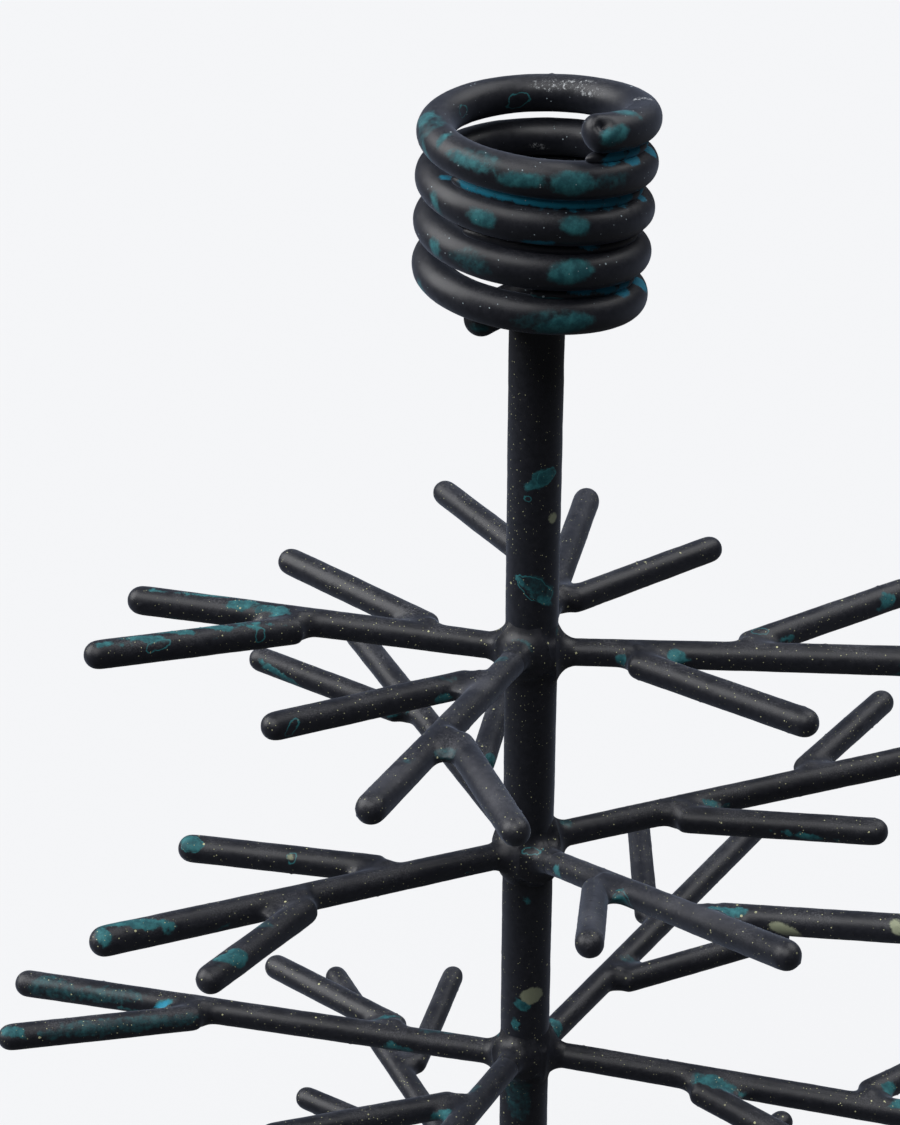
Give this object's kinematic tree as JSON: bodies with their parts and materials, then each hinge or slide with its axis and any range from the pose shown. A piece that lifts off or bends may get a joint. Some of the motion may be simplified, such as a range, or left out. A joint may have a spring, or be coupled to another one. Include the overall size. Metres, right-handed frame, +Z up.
{
  "type": "spiral candle holder",
  "caption": "Table candle holder welded from dark coated steel rod as a small bare tree on a round foot; a wound rod at the top of the trunk grips a taper candle.",
  "frame": {"origin": "middle of the foot plate's underside, on the trunk's axis", "axes": "+Z up along the trunk, front of the picture facing -Y, +X to the right seen from the front"},
  "size_m": [0.197, 0.1844, 0.3331],
  "materials": {
    "rod_coat": "satin black coat with thin verdigris patches and fine pale specks",
    "coil_coat": "satin black coat with verdigris patches, brighter blue-green between the turns",
    "weld_coat": "satin black coat over smooth weld beads, blue-green in the crotches",
    "foot_coat": "satin black coat with a few verdigris patches and pale specks"
  },
  "bodies": {
    "root": {"foot_plate": "foot_coat", "foot_weld": "weld_coat", "trunk": "rod_coat", "coil_weld": "weld_coat", "candle_coil": "coil_coat", "tier_1_left_stem": "rod_coat", "tier_1_left_twigs": "rod_coat", "tier_1_front_stem": "rod_coat", "tier_1_front_twigs": "rod_coat", "tier_1_right_stem": "rod_coat", "tier_1_right_twigs": "rod_coat", "tier_1_rear_stem": "rod_coat", "tier_1_rear_twigs": "rod_coat", "tier_1_root_weld": "weld_coat", "tier_1_twig_welds": "weld_coat", "tier_2_left_stem": "rod_coat", "tier_2_left_twigs": "rod_coat", "tier_2_front_stem": "rod_coat", "tier_2_front_twigs": "rod_coat", "tier_2_right_stem": "rod_coat", "tier_2_right_twigs": "rod_coat", "tier_2_rear_stem": "rod_coat", "tier_2_rear_twigs": "rod_coat", "tier_2_root_weld": "weld_coat", "tier_2_twig_welds": "weld_coat", "tier_3_left_stem": "rod_coat", "tier_3_left_twigs": "rod_coat", "tier_3_front_stem": "rod_coat", "tier_3_front_twigs": "rod_coat", "tier_3_right_stem": "rod_coat", "tier_3_right_twigs": "rod_coat", "tier_3_rear_stem": "rod_coat", "tier_3_rear_twigs": "rod_coat", "tier_3_root_weld": "weld_coat", "tier_3_twig_welds": "weld_coat", "tier_4_left_stem": "rod_coat", "tier_4_left_twigs": "rod_coat", "tier_4_front_stem": "rod_coat", "tier_4_front_twigs": "rod_coat", "tier_4_right_stem": "rod_coat", "tier_4_right_twigs": "rod_coat", "tier_4_rear_stem": "rod_coat", "tier_4_rear_twigs": "rod_coat", "tier_4_root_weld": "weld_coat", "tier_4_twig_welds": "weld_coat", "tier_5_left_stem": "rod_coat", "tier_5_left_twigs": "rod_coat", "tier_5_front_stem": "rod_coat", "tier_5_front_twigs": "rod_coat", "tier_5_right_stem": "rod_coat", "tier_5_right_twigs": "rod_coat", "tier_5_rear_stem": "rod_coat", "tier_5_rear_twigs": "rod_coat", "tier_5_root_weld": "weld_coat", "tier_5_twig_welds": "weld_coat"}
  },
  "joints": []
}
